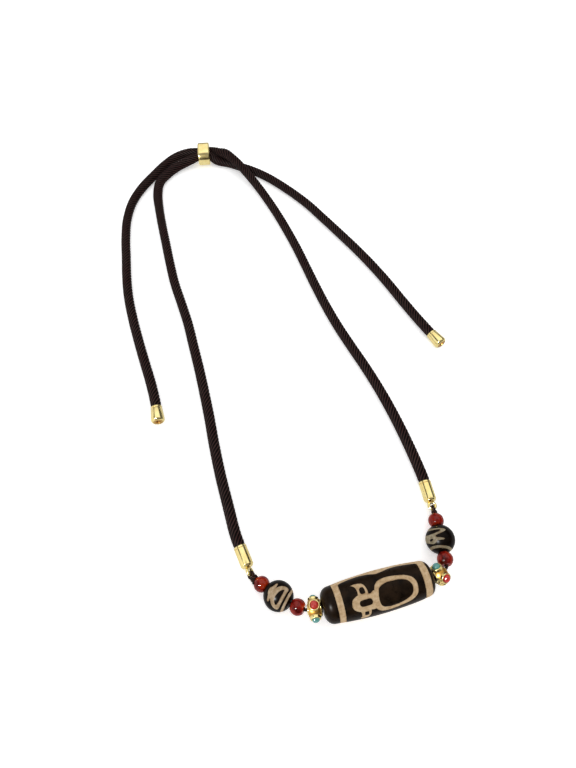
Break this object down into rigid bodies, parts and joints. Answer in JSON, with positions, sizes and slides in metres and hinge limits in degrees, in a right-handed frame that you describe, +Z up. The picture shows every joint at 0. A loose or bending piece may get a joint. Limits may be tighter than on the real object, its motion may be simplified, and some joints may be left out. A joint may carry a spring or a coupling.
{
  "type": "dzi bead necklace",
  "caption": "Adjustable necklace of dark braided cord with an etched dzi bead, round dzi and carnelian beads, gold spacers and a gold slide ring, lying open",
  "frame": {"origin": "the middle of the opening that the neck goes through, on the plane of the surface the necklace lies on", "axes": "+X to the right of the main bead as the picture shows it, +Y from the main bead to the slide ring, +Z up from the surface"},
  "size_m": [0.1479, 0.2897, 0.016],
  "materials": {
    "dzi_agate": "polished stone",
    "carnelian": "polished stone",
    "gold_metal": "polished",
    "red_coral": "polished",
    "turquoise": "polished",
    "thread": "waxed thread",
    "braided_cord": "satin braid"
  },
  "bodies": {
    "root": {"dzi_bead": "dzi_agate", "round_dzi_left": "dzi_agate", "round_dzi_right": "dzi_agate", "carnelian_left_inner": "carnelian", "carnelian_left_outer": "carnelian", "carnelian_right_inner": "carnelian", "carnelian_right_outer": "carnelian", "spacer_left": "gold_metal", "spacer_right": "gold_metal", "coral_left_a": "red_coral", "coral_left_b": "red_coral", "turquoise_left_a": "turquoise", "turquoise_left_b": "turquoise", "coral_right_a": "red_coral", "coral_right_b": "red_coral", "turquoise_right_a": "turquoise", "turquoise_right_b": "turquoise", "bead_thread": "thread", "cap_left": "gold_metal", "cap_right": "gold_metal", "cord_left": "braided_cord", "cord_right": "braided_cord", "tip_left": "gold_metal", "tip_right": "gold_metal", "slide_ring": "gold_metal"}
  },
  "joints": []
}
